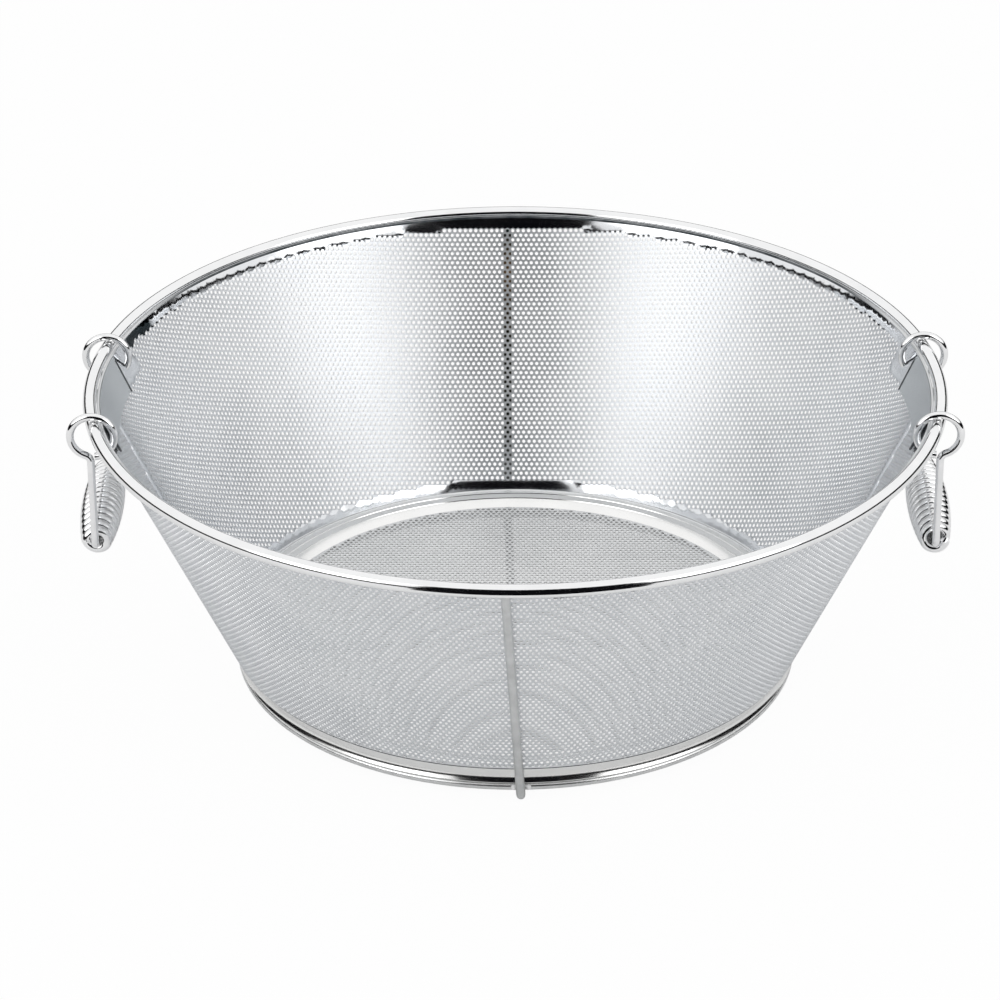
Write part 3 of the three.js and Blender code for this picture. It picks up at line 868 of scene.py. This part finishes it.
bail_thickness = 4 * mm
bail_sides = 18
eye_radius = 11.38 * mm
eye_side = 47.2 * mm
eye_end = radians(265)
eye_root = radians(-70)
leg_bend = 4 * mm
corner_bend = 4 * mm
bail_drop = 64.5 * mm
eye_steps = 60
bend_steps = 8
hinge = {joint["name"]: Vector(joint["pos_m"]) for joint in frame["joints"]}

steel = Steel("bright_bail_steel", cloud_scale=150, cloud_detail=3, dark=(0.82, 0.825, 0.83),
              light=(0.9, 0.9, 0.905))
bail_steel = steel.done(rough=0.05, rougher=0.07)


def eye_point(angle, radius):
    return Vector((radius * cos(angle), 0, radius * sin(angle)))


def half_bail(shape):
    """From one eye's cut end to the middle of the crossbar, about the hinge, with the basket towards -X."""
    start = eye_point(eye_end, eye_radius) + Vector((0, eye_side, 0))
    heading = (sin(eye_end), 0, -cos(eye_end))
    close_end(shape, start_wire(shape, start, heading, bail_thickness, bail_sides))
    end = start_wire(shape, start, heading, bail_thickness, bail_sides)
    end = bend(shape, end, (0, eye_side, 0), (0, 1, 0), eye_end - eye_root, eye_steps)
    bend_middle = eye_point(eye_root, eye_radius + leg_bend) + Vector((0, eye_side, 0))
    end = bend(shape, end, bend_middle, (0, -1, 0), -eye_root, bend_steps)
    leg_x = bend_middle.x - leg_bend
    end = run(shape, end, (0, 0, corner_bend - bail_drop - bend_middle.z))
    corner_middle = (leg_x, eye_side - corner_bend, corner_bend - bail_drop)
    end = bend(shape, end, corner_middle, (-1, 0, 0), pi / 2, bend_steps)
    run(shape, end, (0, corner_bend - eye_side, 0))


for side_name, side in (("left", -1), ("right", 1)):
    shape = bmesh.new()
    half_bail(shape)
    bmesh.ops.mirror(shape, geom=shape.verts[:] + shape.edges[:] + shape.faces[:], axis="Y",
                     merge_dist=ring_merge)
    if side < 0:
        bmesh.ops.rotate(shape, cent=(0, 0, 0), matrix=Matrix.Rotation(pi, 3, "Z"), verts=shape.verts)
    bmesh.ops.translate(shape, vec=hinge[f"{side_name}_bail_swing"], verts=shape.verts)
    smooth_wire(f"bail_{side_name}_wire", shape, bail_steel, f"{side_name}_bail", "bail_wire",
                f"bail_{side_name}")


# Grips
# A spring of thick bright steel wire, wound to a barrel with a little room between its turns, sits loosely on
# each crossbar and turns in the hand.

grip_thickness = 4.8 * mm
grip_turns = 15
grip_length = 82 * mm
grip_middle_radius = 8.8 * mm
grip_end_radius = 5.3 * mm
steps_per_turn = 32
grip_sides = 14

grip_pitch = grip_length / grip_turns
steel = Steel("bright_spring_steel", cloud_scale=150, cloud_detail=3, dark=(0.82, 0.825, 0.83),
              light=(0.9, 0.9, 0.905))
grip_steel = steel.done(rough=0.05, rougher=0.07)


def barrel_radius(along):
    """The radius of the wire's middle, from one end at -1 over the middle at 0 to the other end at 1."""
    return grip_middle_radius - (grip_middle_radius - grip_end_radius) * along ** 2


for side_name, side in (("left", -1), ("right", 1)):
    shape = bmesh.new()
    start = (grip_middle_radius, -grip_length / 2, 0)
    heading = (0, grip_pitch, -2 * pi * grip_middle_radius)
    close_end(shape, start_wire(shape, start, heading, grip_thickness, grip_sides))
    end = start_wire(shape, start, heading, grip_thickness, grip_sides)
    swept = bmesh.ops.spin(shape, geom=end, cent=(0, 0, 0), axis=(0, 1, 0), angle=2 * pi * grip_turns,
                           dvec=(0, grip_pitch / steps_per_turn, 0), steps=grip_turns * steps_per_turn,
                           use_duplicate=False)
    close_end(shape, edges_of(swept["geom_last"]))
    # The straight coil is pressed to a barrel, by how many turns it has made where each vertex is.
    for vert in shape.verts:
        turn = atan2(-vert.co.z, vert.co.x) / (2 * pi)
        along = (vert.co.y + grip_length / 2) / grip_pitch
        wound = turn + round(along - turn)
        shift = barrel_radius(2 * wound / grip_turns - 1) - grip_middle_radius
        vert.co += Vector((vert.co.x, 0, vert.co.z)).normalized() * shift
    if side < 0:
        bmesh.ops.rotate(shape, cent=(0, 0, 0), matrix=Matrix.Rotation(pi, 3, "Z"), verts=shape.verts)
    bmesh.ops.translate(shape, vec=hinge[f"{side_name}_grip_spin"], verts=shape.verts)
    smooth_wire(f"grip_{side_name}_spring", shape, grip_steel, f"{side_name}_grip", "grip_wire",
                f"grip_{side_name}")
